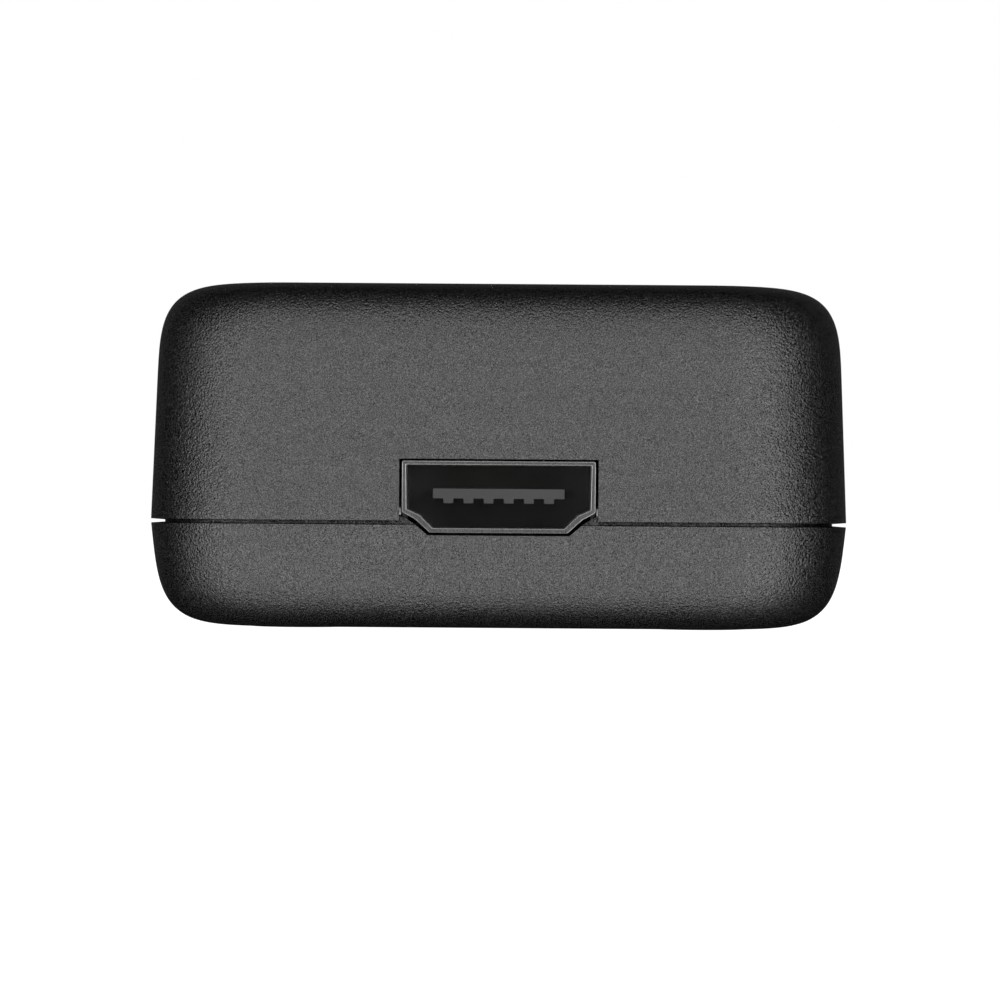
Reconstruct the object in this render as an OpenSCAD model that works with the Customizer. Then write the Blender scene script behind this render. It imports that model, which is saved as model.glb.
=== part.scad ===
// Streaming media player: a two-part textured plastic case around one circuit
// board. The HDMI socket is in the -Y end. The Ethernet socket, the USB-C power
// inlet, the pairing button and the status light are in the +Y end.
// Millimetres, +Z up, origin under the middle of the case on the plane that the
// rubber feet stand on.

/* [Case] */
// Width of the case at the seam
body_w = 55; // [54:0.5:60]
// Length of the case at the seam
body_l = 84; // [83.5:0.5:90]
// Height of the top face above the ground
body_top = 27.3; // [26.5:0.1:31]
// Height of the middle of the seam above the ground
seam_z = 8.5; // [8.3:0.1:8.8]
// How far the feet stand proud of the base
foot_proud = 0.2; // [0.1:0.1:0.4]
// Plan radius of the four upright corners
corner_r = 10; // [9:0.5:12]
// Wall thickness of both shells
wall = 1.8; // [1.6:0.1:2]
// Height of the seam groove at its mouth
groove_mouth = 0.36; // [0.3:0.02:0.5]

/* [Board] */
// Height of the board's upper face
board_top = 7.6; // [7.4:0.1:7.8]
// Thickness of the board
board_t = 1.6; // [1:0.2:1.6]

/* [Ports] */
// Height of the middle of the HDMI socket
hdmi_z = 10.5; // [10.5:0.05:10.7]
// Place of the Ethernet socket across the +Y end
lan_x = -4; // [-5:0.5:-3]
// Place of the power inlet across the +Y end
usb_x = 10.6; // [10:0.2:12]
// Place of the pairing button across the +Y end
button_x = -16; // [-17:0.5:-15.5]
// Place of the status light across the +Y end
light_x = 17.5; // [17:0.5:18]

/* [Hidden] */
$fn = 48;
eps = 0.01;

// ---- case profile ----
base_z = foot_proud;
shell_floor = base_z + wall;
shell_ceiling = body_top - wall;
end_y = body_l / 2;
// Draft of the side walls, as run over rise
upper_draft = 0.038;
lower_draft = 0.1;
// Each edge is a quarter of a superellipse: [reach inwards, reach down or up, exponent]
upper_edge = [9.4, 8.45, 4.3];
lower_edge = [11, 10.6, 5.3];
corner_exponent = 2.2;
corner_steps = 10;
least_corner_r = 1.2;
corner_shrink = 0.72;
// The inner lip of the bottom shell stands inside a rebate in the top shell
rebate_depth = 0.95;
lip_gap = 0.13;
lip_top = 10.05;
rebate_top = 10.3;
groove_floor = 0.18;
// Rings stop this far short of the flat faces
flat_gap = 0.001;
// Gap between a connector and its opening in the case
port_gap = 0.2;

function quarter_inset(edge, rise) =
    let (t = max(0, min(1, (edge[1] - rise) / edge[1])))
    edge[0] * (1 - pow(max(0, 1 - pow(t, edge[2])), 1 / edge[2]));
function upper_inset(z, top) =
    upper_draft * (z - seam_z) + quarter_inset(upper_edge, top - z);
function lower_inset(z, base) =
    lower_draft * (seam_z - z) + quarter_inset(lower_edge, z - base);

// Heights that bunch up towards a face, where the edge curves fastest
function crowded(from, to, steps, crowding) =
    [for (i = [1 : steps]) from + (to - from) * (1 - pow(1 - i / steps, crowding))];

// One ring of a shell: a rectangle with superellipse corners, inset from the seam outline
function ring(inset, z) =
    let (r = max(least_corner_r, corner_r - corner_shrink * inset),
         cx = body_w / 2 - inset - r, cy = body_l / 2 - inset - r,
         p = 2 / corner_exponent)
    [for (q = [0 : 3], i = [0 : corner_steps])
        let (a = 90 * i / corner_steps, c = r * pow(cos(a), p), s = r * pow(sin(a), p))
        q == 0 ? [cx + c, cy + s, z] :
        q == 1 ? [-cx - s, cy + c, z] :
        q == 2 ? [-cx - c, -cy - s, z] : [cx + s, -cy - c, z]];

// A closed solid through [inset, z] rings, with a flat cap on the first and the last
module loft(profile, flip = false) {
    n = 4 * (corner_steps + 1);
    rings = len(profile);
    points = [for (p = profile) each ring(p[0], p[1])];
    sides = [for (k = [0 : rings - 2], i = [0 : n - 1])
        let (a = k * n + i, b = k * n + (i + 1) % n)
        each [[a, b, b + n], [a, b + n, a + n]]];
    first_cap = [[for (i = [0 : n - 1]) n - 1 - i]];
    last_cap = [[for (i = [0 : n - 1]) (rings - 1) * n + i]];
    faces = concat(sides, first_cap, last_cap);
    polyhedron(
        points = points,
        faces = flip ? [for (f = faces) [for (i = [len(f) - 1 : -1 : 0]) f[i]]] : faces,
        convexity = 10);
}

// ---- shared shapes ----
module rounded_plate(w, l, r, h) {
    linear_extrude(h) {
        square([w - 2 * r, l], center = true);
        square([w, l - 2 * r], center = true);
        for (sx = [-1, 1], sy = [-1, 1])
            translate([sx * (w / 2 - r), sy * (l / 2 - r)]) circle(r);
    }
}

// A block that stands on the board, with its lower face on it
module on_board(x, y, size) {
    translate([x - size[0] / 2, y - size[1] / 2, board_top]) cube(size);
}

// A chip with a moulded dimple beside its first pin
module chip(x, y, size) {
    difference() {
        on_board(x, y, size);
        translate([x - size[0] / 2 + 1, y - size[1] / 2 + 1, board_top + size[2] - 0.1])
            cylinder(r = 0.35, h = 1);
    }
}

// Extrudes an outline drawn in X and Z from y0 to y1
module along_y(y0, y1) {
    translate([0, y1, 0]) rotate([90, 0, 0]) linear_extrude(y1 - y0) children();
}

// ---- HDMI socket outlines, about its own middle ----
hdmi_side = 7.5;
hdmi_top = 2.78;
hdmi_mouth_y = -end_y + 0.28;
hdmi_depth = 11.5;
hdmi_back_y = hdmi_mouth_y + hdmi_depth;
hdmi_back_wall = 0.35;
// Half of the outer outline, from the top right corner down to the bottom
hdmi_half = [[hdmi_side, hdmi_top], [hdmi_side, -1.18], [6.5, -1.72], [5.32, -2.77]];
// The same points for the inner wall
hdmi_half_in = [[7.16, 2.46], [7.1, -0.96], [6.12, -1.38], [5.08, -2.38]];
// The same points for the opening in the case
hdmi_cut_side = hdmi_side + port_gap;
hdmi_cut_top = hdmi_top + 0.14;
hdmi_half_cut = [[hdmi_cut_side, hdmi_cut_top], [hdmi_cut_side, -1.4], [6.46, -2.12], [5.46, -2.95]];

function both_halves(half) =
    concat(half, [for (i = [len(half) - 1 : -1 : 0]) [-half[i][0], half[i][1]]]);
module hdmi_outline(half) {
    translate([0, hdmi_z]) polygon(both_halves(half));
}

// ---- Ethernet socket sizes ----
lan_w = 16;
lan_h = 13.4;
lan_depth = 21.3;
lan_mouth_y = end_y - 0.75;
lan_sheet = 0.25;
lan_plug_w = 11.8;
lan_plug_h = 7;
lan_plug_z = board_top + 3.9;
lan_plug_depth = 14;

// ---- USB-C inlet sizes ----
usb_w = 8.94;
usb_h = 3.26;
usb_sheet = 0.3;
usb_depth = 7.35;
usb_mouth_y = end_y - 0.35;
usb_z = board_top + usb_h / 2 + 0.05;

// ---- pairing button and light ----
button_z = board_top + 3.9;
button_r = 1.5;
button_hole_r = 1.65;
button_face_y = end_y - 0.42;
button_inner_y = end_y - 3.1;
button_flange_r = 2.2;
button_flange_t = 0.85;
dish_r = 6;
dish_depth = 0.15;
plunger_r = 0.9;
plunger_hole_r = 1.05;
switch_face_y = end_y - 4.3;
light_r = 0.9;
light_hole_r = 1;

// ---- fasteners ----
case_screw_at = [for (sx = [-1, 1], sy = [-1, 1]) [16 * sx, 24 * sy]];
case_screw_seat = 3.2;
case_screw_r = 1.2;
case_screw_head_r = 2.2;
case_screw_head_h = 1.6;
case_screw_end = 13.4;
case_hole_r = 1.22;
boss_r = 2.4;
base_boss_r = 3.3;
board_boss_r = 2.3;
boss_root_z = base_z + 0.8;
foot_r = 4;
foot_gap = 0.1;
foot_seat = 0.8;
board_screw_at = [[-20.5, -2], [20.5, -2]];
board_screw_r = 0.95;
board_screw_head_r = 1.9;
board_screw_head_h = 1.1;

// ---- base ----
vent_count = 9;
vent_pitch = 2.6;
vent_w = 1.2;
vent_l = 10;
vent_rows = [-16, -4];
label_w = 30;
label_l = 12;
label_r = 1;
label_t = 0.12;
label_seat = 0.15;
label_y = 11;

module slot(w, l, h) {
    rounded_plate(w, l, w / 2 - eps, h);
}

// ---- case ----
module top_shell() {
    heights = concat(
        [groove_mouth / 2 + seam_z],
        crowded(seam_z + 1.8, body_top - flat_gap, 15, 2.6));
    outer = [for (z = heights) [upper_inset(z, body_top), z]];
    inner_heights = crowded(rebate_top + 4, shell_ceiling - flat_gap, 8, 2.6);
    inner = [for (z = inner_heights) [wall + upper_inset(z + wall, body_top), z]];
    rim = [[rebate_depth, seam_z + groove_floor / 2],
        [rebate_depth + upper_draft * (rebate_top - seam_z), rebate_top],
        [wall + upper_draft * (rebate_top - seam_z), rebate_top]];
    backwards = [for (i = [len(outer) - 1 : -1 : 0]) outer[i]];
    difference() {
        union() {
            loft(concat(backwards, rim, inner));
            for (p = case_screw_at)
                translate([p[0], p[1], board_top + 0.1])
                    cylinder(r = boss_r, h = shell_ceiling - board_top + 0.3);
        }
        for (p = case_screw_at)
            translate([p[0], p[1], board_top])
                cylinder(r = case_hole_r, h = case_screw_end + 1 - board_top);
        // The HDMI opening's upper part is a plain rectangle down to the seam
        translate([-hdmi_cut_side, -end_y - 1, seam_z - 2])
            cube([2 * hdmi_cut_side, 5, hdmi_z + hdmi_cut_top - seam_z + 2]);
        lan_opening();
        usb_opening();
        translate([button_x, end_y - 4, button_z]) rotate([-90, 0, 0])
            cylinder(r = button_hole_r, h = 8);
        translate([light_x, end_y - 4, button_z]) rotate([-90, 0, 0])
            cylinder(r = light_hole_r, h = 8);
    }
}

module lan_opening() {
    translate([lan_x - lan_w / 2 - port_gap, end_y - 4, board_top - port_gap])
        cube([lan_w + 2 * port_gap, 8, lan_h + 2 * port_gap]);
}

module usb_opening() {
    along_y(end_y - 4, end_y + 4) stadium(usb_w + 2 * port_gap, usb_h + 2 * port_gap);
}

module stadium(w, h) {
    translate([usb_x, usb_z]) {
        square([w - h, h], center = true);
        for (s = [-1, 1]) translate([s * (w - h) / 2, 0]) circle(h / 2);
    }
}

module bottom_shell() {
    heights = crowded(seam_z - groove_mouth / 2, base_z + flat_gap, 14, 2.6);
    outer = [for (z = concat([seam_z - groove_mouth / 2], heights))
        [lower_inset(z, base_z), z]];
    inner_heights = crowded(seam_z - 1, shell_floor + flat_gap, 7, 2.2);
    inner = [for (z = inner_heights) [wall + lower_inset(z - wall, base_z), z]];
    lip_in = rebate_depth + lip_gap;
    rim = [[lip_in, seam_z - groove_floor / 2],
        [lip_in + upper_draft * (lip_top - seam_z), lip_top - 0.15],
        [lip_in + 0.15, lip_top],
        [wall - 0.1, lip_top],
        [wall, seam_z - 0.5]];
    backwards = [for (i = [len(outer) - 1 : -1 : 0]) outer[i]];
    difference() {
        union() {
            loft(concat(backwards, rim, inner), flip = true);
            for (p = case_screw_at)
                translate([p[0], p[1], boss_root_z])
                    cylinder(r = base_boss_r, h = board_top - board_t - boss_root_z);
            for (p = board_screw_at)
                translate([p[0], p[1], boss_root_z])
                    cylinder(r = board_boss_r, h = board_top - board_t - boss_root_z);
        }
        for (p = case_screw_at) translate([p[0], p[1], 0]) {
            cylinder(r = foot_r, h = foot_seat);
            cylinder(r = case_screw_head_r + 0.15, h = case_screw_seat);
            cylinder(r = case_screw_r + 0.2, h = 12);
        }
        for (p = board_screw_at)
            translate([p[0], p[1], shell_floor + 0.5])
                cylinder(r = board_screw_r + 0.02, h = 12);
        along_y(-end_y - 1, -end_y + 5) hdmi_outline(hdmi_half_cut);
        lan_opening();
        usb_opening();
        // The lip is cut away behind the button and the light pipe
        for (x = [button_x, light_x])
            translate([x - 2.9, end_y - 6, seam_z + 0.3]) cube([5.8, 8, 4]);
        vents();
        translate([0, label_y, base_z - 1])
            rounded_plate(label_w + 0.4, label_l + 0.4, label_r + 0.2, 1 + label_seat);
    }
}

module vents() {
    for (i = [0 : vent_count - 1], y = vent_rows)
        translate([(i - (vent_count - 1) / 2) * vent_pitch, y, base_z - 1])
            slot(vent_w, vent_l, wall + 2);
}

module rubber_feet() {
    for (p = case_screw_at)
        translate([p[0], p[1], 0]) cylinder(r = foot_r - foot_gap, h = foot_seat);
}

module base_label() {
    translate([0, label_y, base_z + label_seat - label_t - eps])
        rounded_plate(label_w, label_l, label_r, label_t);
}

// A cross-head screw: its head lies below z = 0 here and its shank points up
drive_w = 0.44;
drive_depth = 0.7;
module screw(shank_r, head_r, head_h, length) {
    difference() {
        translate([0, 0, -head_h]) cylinder(r = head_r, h = head_h);
        for (a = [0, 90]) rotate([0, 0, a])
            translate([-head_r * 0.6, -drive_w / 2, -head_h - 1])
                cube([head_r * 1.2, drive_w, 1 + drive_depth]);
    }
    translate([0, 0, -eps]) cylinder(r = shank_r, h = length - 1);
    translate([0, 0, length - 1 - eps]) cylinder(r1 = shank_r, r2 = shank_r * 0.55, h = 1);
}

module case_screws() {
    for (p = case_screw_at) translate([p[0], p[1], case_screw_seat])
        screw(case_screw_r, case_screw_head_r, case_screw_head_h,
            case_screw_end - case_screw_seat);
}

module board_screws() {
    for (p = board_screw_at) translate([p[0], p[1], board_top]) mirror([0, 0, 1])
        screw(board_screw_r, board_screw_head_r, board_screw_head_h, 4.5);
}

// ---- board ----
board_w = 49.2;
board_l = 78.4;
board_corner_r = 8;
module main_board() {
    difference() {
        translate([0, 0, board_top - board_t]) rounded_plate(board_w, board_l, board_corner_r, board_t);
        for (p = case_screw_at) translate([p[0], p[1], 0]) cylinder(r = 1.5, h = 20);
        for (p = board_screw_at) translate([p[0], p[1], 0]) cylinder(r = 1.1, h = 20);
        for (p = sink_pin_at) translate([p[0], p[1], 0]) cylinder(r = 1.1, h = 20);
    }
}

// ---- HDMI socket ----
hdmi_tab = [0.28, 2.2, 0.64];
hdmi_leg = [0.3, 1.4, hdmi_z - 1.2 - board_top];
hdmi_leg_y = [hdmi_mouth_y + 4.2, hdmi_mouth_y + 9.2];
finger_x = [-3.4, 3.4];
finger_w = 1.8;
finger_slit = 0.24;
finger_y = hdmi_mouth_y + 2.6;
finger_l = 5;
module hdmi_shell() {
    difference() {
        union() {
            along_y(hdmi_mouth_y, hdmi_back_y) hdmi_outline(hdmi_half);
            // Small earthing tabs stand off the sides behind the rim
            for (s = [-1, 1])
                translate([s * hdmi_side - hdmi_tab[0] / 2, hdmi_mouth_y + 0.35, hdmi_z - 1.38])
                    cube(hdmi_tab);
            // Solder legs beside the board's edge
            for (s = [-1, 1], y = hdmi_leg_y)
                translate([s * (hdmi_side - hdmi_leg[0] / 2) - hdmi_leg[0] / 2, y, board_top])
                    cube(hdmi_leg);
        }
        along_y(hdmi_mouth_y - 1, hdmi_back_y - hdmi_back_wall) hdmi_outline(hdmi_half_in);
        // Spring fingers are cut into the top, each between two slits
        for (x = finger_x, s = [-1, 1])
            translate([x + s * finger_w / 2 - finger_slit / 2, finger_y, hdmi_z + 2])
                cube([finger_slit, finger_l, 2]);
        for (x = finger_x)
            translate([x - finger_w / 2, finger_y + finger_l - finger_slit, hdmi_z + 2])
                cube([finger_w, finger_slit, 2]);
        // The contact tails leave through the lower back edge
        translate([-5, hdmi_back_y - 2, hdmi_z - 4]) cube([10, 4, 1.9]);
    }
}

// The tongue carries a comb of short teeth under its front edge
tongue_w = 10.2;
tongue_y = hdmi_mouth_y + 0.9;
tongue_top = 0.64;
tongue_mid = -0.09;
tongue_low = -0.48;
tooth_w = 0.77;
tooth_pitch = 1.56;
tooth_depth = 1.3;
hdmi_block_y = hdmi_mouth_y + 8.2;
hdmi_block_l = 2.1;
module hdmi_housing() {
    along_y(hdmi_block_y, hdmi_block_y + hdmi_block_l)
        offset(delta = -0.03) hdmi_outline(hdmi_half_in);
    along_y(tongue_y, hdmi_block_y + 0.1) translate([-tongue_w / 2, hdmi_z + tongue_mid])
        square([tongue_w, tongue_top - tongue_mid]);
    for (i = [-2.5 : 2.5])
        along_y(tongue_y, tongue_y + tooth_depth)
            translate([i * tooth_pitch - tooth_w / 2, hdmi_z + tongue_low])
                square([tooth_w, tongue_mid - tongue_low + eps]);
}

// One contact: a blade let into the tongue, a drop behind the housing and a tail on the board
contact_w = 0.3;
contact_t = 0.12;
contact_proud = 0.02;
module hdmi_contact(x, z) {
    drop_y = hdmi_mouth_y + 10.4;
    blade_y = tongue_y + tooth_depth + 0.2;
    tail_end_y = hdmi_mouth_y + hdmi_depth + 1.1;
    foot_z = board_top + 0.02;
    translate([x - contact_w / 2, blade_y, z])
        cube([contact_w, drop_y + contact_t - blade_y, contact_t]);
    translate([x - contact_w / 2, drop_y, foot_z])
        cube([contact_w, contact_t, z + contact_t - foot_z]);
    translate([x - contact_w / 2, drop_y, foot_z])
        cube([contact_w, tail_end_y - drop_y, contact_t]);
}

module hdmi_contacts_upper() {
    for (i = [-4.5 : 4.5]) hdmi_contact(i, hdmi_z + tongue_top - contact_t + contact_proud);
}

module hdmi_contacts_lower() {
    for (i = [-4 : 4]) hdmi_contact(i, hdmi_z + tongue_mid - contact_proud);
}

// ---- Ethernet socket ----
lan_back_y = lan_mouth_y - lan_depth;
module lan_shield() {
    difference() {
        translate([lan_x - lan_w / 2, lan_back_y, board_top])
            cube([lan_w, lan_depth, lan_h]);
        translate([lan_x - lan_w / 2 + lan_sheet, lan_back_y + lan_sheet, board_top - 1])
            cube([lan_w - 2 * lan_sheet, lan_depth + 1, lan_h + 1 - lan_sheet]);
        // Slits free a springy earthing finger on each side
        for (s = [-1, 1], z = [0, 2.6])
            translate([lan_x + s * lan_w / 2 - 1, lan_mouth_y - 7, board_top + 5.4 + z])
                cube([2, 6, 0.3]);
    }
}

module lan_housing() {
    w = lan_w - 2 * lan_sheet - 0.1;
    difference() {
        translate([lan_x - w / 2, lan_back_y + lan_sheet + 0.05, board_top + 0.02])
            cube([w, lan_depth - lan_sheet - 0.2, lan_h - lan_sheet - 0.07]);
        // Space for the plug
        translate([lan_x - lan_plug_w / 2, lan_mouth_y - lan_plug_depth, lan_plug_z])
            cube([lan_plug_w, lan_plug_depth + 1, lan_plug_h]);
        // Steps for the plug's latch
        translate([lan_x - 3.1, lan_mouth_y - 9, lan_plug_z - 1.6]) cube([6.2, 10, 2]);
        translate([lan_x - 1.6, lan_mouth_y - 9, lan_plug_z - 2.7]) cube([3.2, 10, 2]);
        // Seats for the two light pipes
        for (s = [-1, 1])
            translate([lan_x + s * 5.4 - 1.45, lan_mouth_y - 12, board_top + lan_h - 2.2])
                cube([2.9, 13, 1.6]);
    }
}

// Each contact bends at the mouth: one leg slopes back into the plug space, the
// other runs back above it and down to the board
lan_wire = 0.35;
lan_wire_pitch = 1.02;
lan_bend_y = lan_mouth_y - 3.4;
lan_rail_z = lan_plug_z + lan_plug_h + 0.3;
lan_drop_y = lan_back_y + 1.6;
module lan_contacts() {
    for (i = [-3.5 : 3.5]) translate([lan_x + i * lan_wire_pitch - lan_wire / 2, 0, 0]) {
        translate([0, lan_bend_y, lan_plug_z + lan_plug_h - 0.1]) rotate([14, 0, 0])
            translate([0, -8.2, -lan_wire]) cube([lan_wire, 8.2, lan_wire]);
        translate([0, lan_bend_y - lan_wire, lan_plug_z + lan_plug_h - 0.4])
            cube([lan_wire, lan_wire, 1.05]);
        translate([0, lan_drop_y, lan_rail_z])
            cube([lan_wire, lan_bend_y - lan_drop_y, lan_wire]);
        translate([0, lan_drop_y, board_top + 0.02])
            cube([lan_wire, lan_wire, lan_rail_z + lan_wire - board_top - 0.02]);
    }
}

module lan_light_pipes() {
    for (s = [-1, 1])
        translate([lan_x + s * 5.4 - 1.4, lan_mouth_y - 11.9, board_top + lan_h - 2.15])
            cube([2.8, 11.7, 1.5]);
}

// ---- USB-C inlet ----
module usb_c_shell() {
    back_y = usb_mouth_y - usb_depth;
    difference() {
        along_y(back_y, usb_mouth_y) stadium(usb_w, usb_h);
        along_y(back_y + usb_sheet, usb_mouth_y + 1)
            stadium(usb_w - 2 * usb_sheet, usb_h - 2 * usb_sheet - 0.06);
    }
    for (s = [-1, 1], y = [back_y + 0.8, usb_mouth_y - 4.4])
        translate([usb_x + s * (usb_w / 2 - 0.16) - 0.15, y, board_top])
            cube([0.3, 1, 1.6]);
}

usb_tongue_w = 6.7;
usb_tongue_t = 0.7;
module usb_c_housing() {
    back_y = usb_mouth_y - usb_depth + usb_sheet;
    along_y(back_y + 0.02, back_y + 1.6)
        stadium(usb_w - 2 * usb_sheet - 0.06, usb_h - 2 * usb_sheet - 0.12);
    along_y(back_y + 1.5, usb_mouth_y - 0.9) translate([usb_x, usb_z])
        square([usb_tongue_w, usb_tongue_t], center = true);
}

module usb_c_contacts() {
    for (i = [-5.5 : 5.5], s = [-1, 1])
        translate([usb_x + i * 0.5 - 0.12, usb_mouth_y - 5, usb_z + s * (usb_tongue_t / 2 + 0.03) - 0.03])
            cube([0.24, 3.4, 0.06]);
}

// ---- pairing button ----
module pairing_button() {
    translate([button_x, 0, button_z]) rotate([-90, 0, 0]) {
        translate([0, 0, button_inner_y]) cylinder(r = button_flange_r, h = button_flange_t);
        difference() {
            translate([0, 0, button_inner_y])
                cylinder(r = button_r, h = button_face_y - button_inner_y);
            // A shallow dish for the fingertip
            translate([0, 0, button_face_y + dish_r - dish_depth]) sphere(r = dish_r);
        }
    }
}

module switch_plunger() {
    translate([button_x, switch_face_y - 0.8, button_z]) rotate([-90, 0, 0])
        cylinder(r = plunger_r, h = button_inner_y - switch_face_y + 0.8);
}

switch_w = 6;
switch_l = 3.2;
switch_h = 5.4;
module switch_frame() {
    difference() {
        on_board(button_x, switch_face_y - switch_l / 2, [switch_w, switch_l, switch_h]);
        translate([button_x, switch_face_y - 1.3, button_z]) rotate([-90, 0, 0])
            cylinder(r = plunger_hole_r, h = 3);
    }
}

module switch_cover() {
    difference() {
        translate([button_x - switch_w / 2, switch_face_y + 0.02, board_top + 0.8])
            cube([switch_w, 0.25, switch_h - 0.8]);
        translate([button_x, switch_face_y - 1, button_z]) rotate([-90, 0, 0])
            cylinder(r = plunger_hole_r, h = 3);
    }
}

// ---- status light ----
module status_light_pipe() {
    leg_y = end_y - 7;
    translate([light_x, leg_y, button_z]) rotate([-90, 0, 0])
        cylinder(r = light_r, h = end_y - 0.3 - leg_y);
    translate([light_x - light_r, leg_y - 0.9, board_top + 0.95])
        cube([2 * light_r, 1.8, button_z + light_r - board_top - 0.95]);
}

module status_led() {
    on_board(light_x, end_y - 7, [1.6, 0.8, 0.7]);
}

// ---- chips and cooling ----
sink_size = 26;
sink_at = [0, -4];
sink_base_z = board_top + 1.7;
sink_base_t = 2;
sink_fin_h = 7;
sink_fins = 9;
sink_fin_t = 1;
sink_pin_at = [for (s = [-1, 1]) [sink_at[0] + s * 11, sink_at[1] + s * 11]];

module processor() {
    chip(sink_at[0], sink_at[1], [14, 14, 1.2]);
}

module thermal_pad() {
    translate([sink_at[0] - 6.5, sink_at[1] - 6.5, board_top + 1.2]) cube([13, 13, 0.5]);
}

module heat_sink() {
    pitch = (sink_size - sink_fin_t) / (sink_fins - 1);
    difference() {
        translate([sink_at[0], sink_at[1], sink_base_z]) {
            translate([-sink_size / 2, -sink_size / 2, 0])
                cube([sink_size, sink_size, sink_base_t]);
            for (i = [0 : sink_fins - 1])
                translate([-sink_size / 2 + i * pitch, -sink_size / 2, sink_base_t - eps])
                    cube([sink_fin_t, sink_size, sink_fin_h]);
        }
        for (p = sink_pin_at) translate([p[0], p[1], 0]) {
            cylinder(r = 1.15, h = 30);
            translate([0, 0, sink_base_z + sink_base_t]) cylinder(r = 3, h = 30);
        }
    }
}

pin_r = 0.95;
barb_r = 1.35;
barb_h = 1.2;
spring_r = 1.75;
spring_wire_r = 0.22;
spring_h = 4.2;
spring_turns = 5;
module heat_sink_pins() {
    for (p = sink_pin_at) translate([p[0], p[1], 0]) {
        translate([0, 0, board_top - board_t - barb_h - 0.05])
            cylinder(r1 = 0.5, r2 = barb_r, h = barb_h);
        translate([0, 0, board_top - board_t - 0.1])
            cylinder(r = pin_r, h = 0.1 + sink_base_z + sink_base_t + spring_h - board_top + board_t);
        translate([0, 0, sink_base_z + sink_base_t + spring_h]) cylinder(r = 2.4, h = 1.2);
    }
}

// A round wire swept along a helix, with flat ends
module helix_spring(r, wire_r, height, turns) {
    steps = turns * 14;
    sides = 8;
    points = [for (k = [0 : steps], i = [0 : sides - 1])
        let (a = 360 * turns * k / steps, b = 360 * i / sides,
             radius = r + wire_r * cos(b))
        [radius * cos(a), radius * sin(a),
            wire_r * sin(b) + (height - 2 * wire_r) * k / steps + wire_r]];
    tube = [for (k = [0 : steps - 1], i = [0 : sides - 1])
        let (a = k * sides + i, b = k * sides + (i + 1) % sides)
        each [[a, b, b + sides], [a, b + sides, a + sides]]];
    start = [[for (i = [0 : sides - 1]) sides - 1 - i]];
    end = [[for (i = [0 : sides - 1]) steps * sides + i]];
    polyhedron(points = points, faces = concat(tube, start, end), convexity = 10);
}

module heat_sink_springs() {
    for (p = sink_pin_at) translate([p[0], p[1], sink_base_z + sink_base_t])
        helix_spring(spring_r, spring_wire_r, spring_h, spring_turns);
}

module memory_chips() {
    for (s = [-1, 1]) chip(sink_at[0] + s * 10.8, sink_at[1] - s * 3.5, [6, 10, 1]);
}

module storage_chip() {
    chip(15, -32.4, [11.5, 10, 1]);
}

module wifi_module() {
    on_board(-14.5, -32.8, [10, 10, 0.8]);
}

module wifi_shield() {
    difference() {
        translate([-19.1, -37.4, board_top + 0.8]) cube([9.2, 9.2, 1.3]);
        translate([-18.9, -37.2, board_top + 0.7]) cube([8.8, 8.8, 1.2]);
        translate([-17, -30, board_top + 1.9]) cylinder(r = 0.4, h = 1);
    }
}

// A stamped aerial: two feet, a long rail and a folded flag
module aerial(x, y, side) {
    for (dy = [-5, -2]) translate([x - 0.15, y + dy, board_top]) cube([0.3, 1, 4]);
    translate([x - 0.15, y - 5, board_top + 3.9]) cube([0.3, 12, 2.2]);
    translate([x - (side > 0 ? 2.6 : 0) , y - 5, board_top + 5.8]) cube([2.6, 12, 0.3]);
    translate([x - 0.15, y + 6, board_top + 1.2]) cube([0.3, 1, 3]);
}

module ethernet_chip() {
    chip(-15, 14, [5, 5, 0.9]);
}

module ethernet_transformer() {
    difference() {
        on_board(-4, 14.6, [12.7, 7, 5.2]);
        translate([-9.4, 12, board_top + 5]) cylinder(r = 0.4, h = 1);
    }
    for (i = [-5.5 : 5.5], s = [-1, 1])
        on_board(-4 + i, 14.6 + s * 4, [0.4, 1.2, 0.3]);
}

module power_chip() {
    chip(18, 4, [5, 5, 0.9]);
}

inductor_at = [[16, 9.8], [20.8, 9.8], [18.4, 15]];
module power_inductors() {
    for (p = inductor_at) translate([p[0], p[1], board_top]) {
        rounded_plate(4, 4, 0.6, 2);
        for (s = [-1, 1]) translate([s * 2, 0, 0.3]) cube([0.4, 2.4, 0.6], center = true);
    }
}

bulk_at = [[9.4, 17], [9.4, 25.2]];
bulk_r = 3.1;
module bulk_capacitors() {
    for (p = bulk_at) translate([p[0], p[1], board_top + 1]) {
        cylinder(r = bulk_r, h = 0.9);
        translate([0, 0, 0.8]) cylinder(r = bulk_r - 0.25, h = 0.5);
        translate([0, 0, 1.2]) cylinder(r = bulk_r, h = 3.6);
    }
}

module bulk_capacitor_bases() {
    for (p = bulk_at) on_board(p[0], p[1], [6.6, 6.6, 1]);
}

// Small parts are rows of blocks: [x, y, count, pitch]
ceramic_rows = [[-9, -22.5, 8, 2.4], [14.8, -17, 3, 2.2], [-22, 3.5, 4, 2.2], [-20, 19, 4, 2.2]];
module ceramic_capacitors() {
    for (row = ceramic_rows, i = [0 : row[2] - 1])
        on_board(row[0] + i * row[3], row[1], [0.8, 1.6, 0.8]);
}

module crystals() {
    for (p = [[-19.6, -14], [-20, 13]])
        translate([p[0], p[1], board_top]) rounded_plate(3.2, 2.5, 0.4, 0.7);
}

module surge_protectors() {
    for (x = [-3, 0, 3]) on_board(x, -26.4, [1.6, 2.4, 0.6]);
}

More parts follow.
